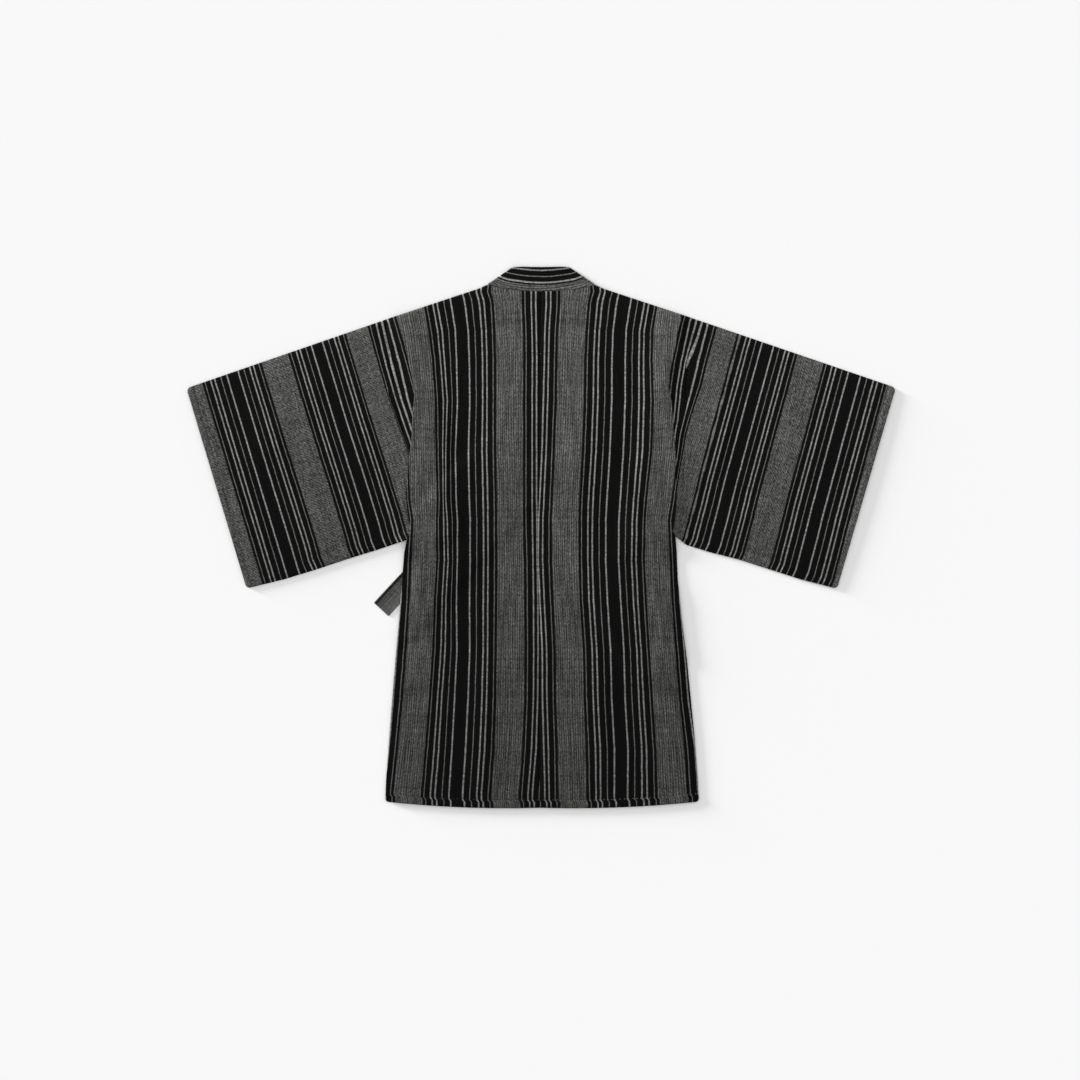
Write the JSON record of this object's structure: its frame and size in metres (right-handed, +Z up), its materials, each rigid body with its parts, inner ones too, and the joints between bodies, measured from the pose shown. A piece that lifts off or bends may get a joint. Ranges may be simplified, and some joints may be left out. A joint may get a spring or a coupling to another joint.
{
  "type": "kimono jacket",
  "caption": "Short kimono jacket in striped cotton crepe, laid flat with its back up: wide open sleeves, a plain collar band and tie strips.",
  "frame": {"origin": "on the surface that the jacket lies on, under the middle of its outline", "axes": "+Z up from that surface, +Y from the hem to the neck, +X to the right of someone who looks down at the back"},
  "size_m": [1.3447, 1.0309, 0.0085],
  "materials": {
    "striped_cloth": "matt crinkled cotton crepe with black, grey and off-white warp stripes",
    "band_cloth": "the same striped cotton, folded double and pressed",
    "tie_cloth": "the grey ground of the same cotton, sewn into a flat tube"
  },
  "bodies": {
    "root": {"body_left": "striped_cloth", "body_right": "striped_cloth", "sleeve_left": "striped_cloth", "sleeve_right": "striped_cloth", "collar_band": "band_cloth", "tie_left": "tie_cloth", "tie_right": "tie_cloth"}
  },
  "joints": []
}
